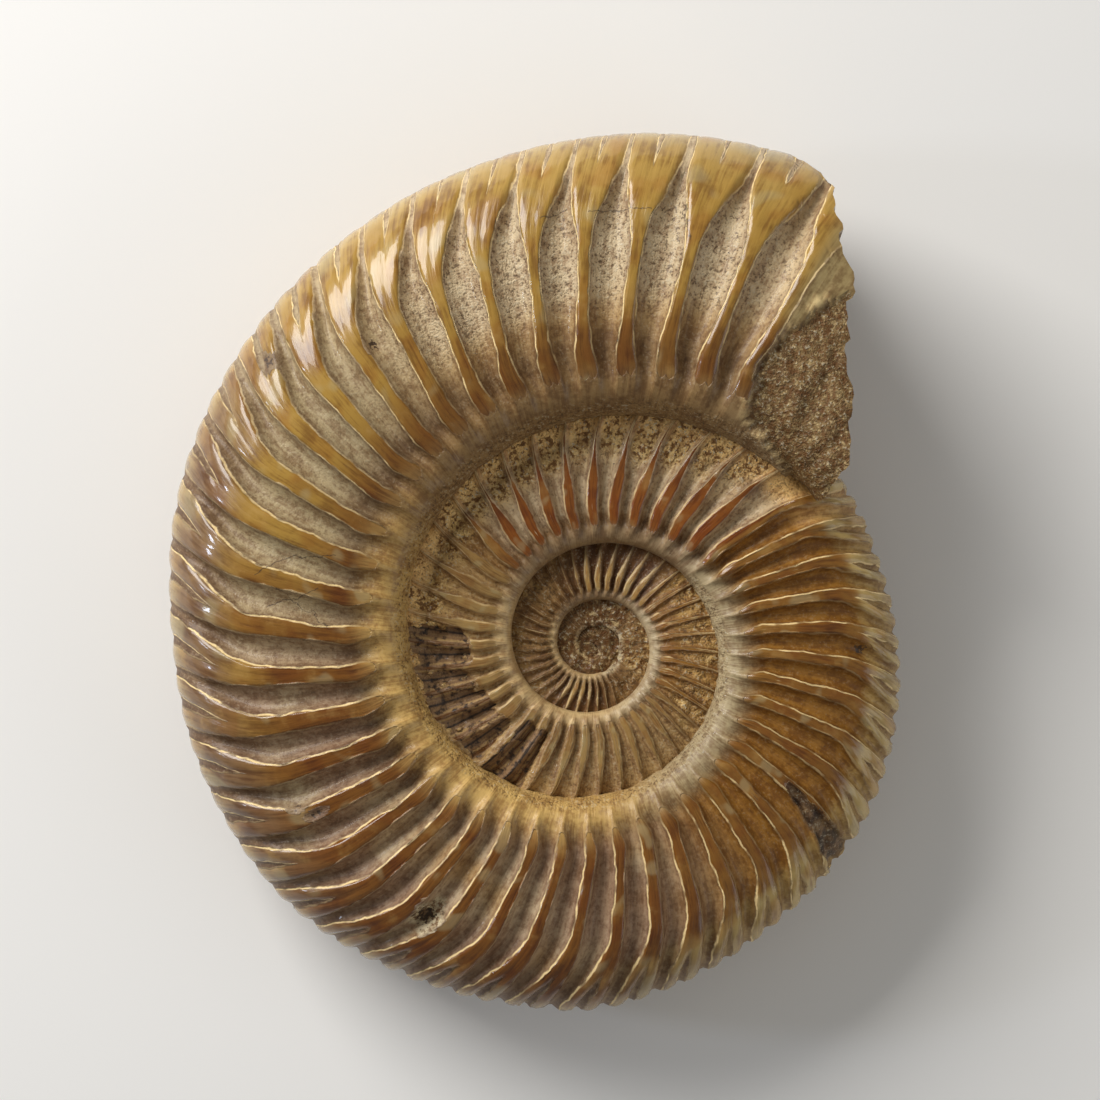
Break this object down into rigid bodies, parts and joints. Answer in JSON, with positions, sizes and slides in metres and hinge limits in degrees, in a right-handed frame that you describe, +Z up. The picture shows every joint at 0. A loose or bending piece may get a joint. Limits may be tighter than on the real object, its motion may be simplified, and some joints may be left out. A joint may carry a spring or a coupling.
{
  "type": "perisphinctes ammonite fossil",
  "caption": "Ribbed coiled ammonite fossil with polished honey-coloured rib crests and a broken mouth, lying flat on its back face.",
  "frame": {"origin": "centre of the bounding box in X and Y, at the lowest point, where the fossil rests", "axes": "+Z up, out of the front of the coil; +Y towards the top of the coil as the picture shows it, +X to its right"},
  "size_m": [0.0648, 0.0778, 0.0226],
  "materials": {
    "fossil": "calcite fossil: glossy polished honey rib crests, dull grey-brown grooves"
  },
  "bodies": {
    "root": {"ammonite": "fossil"}
  },
  "joints": []
}
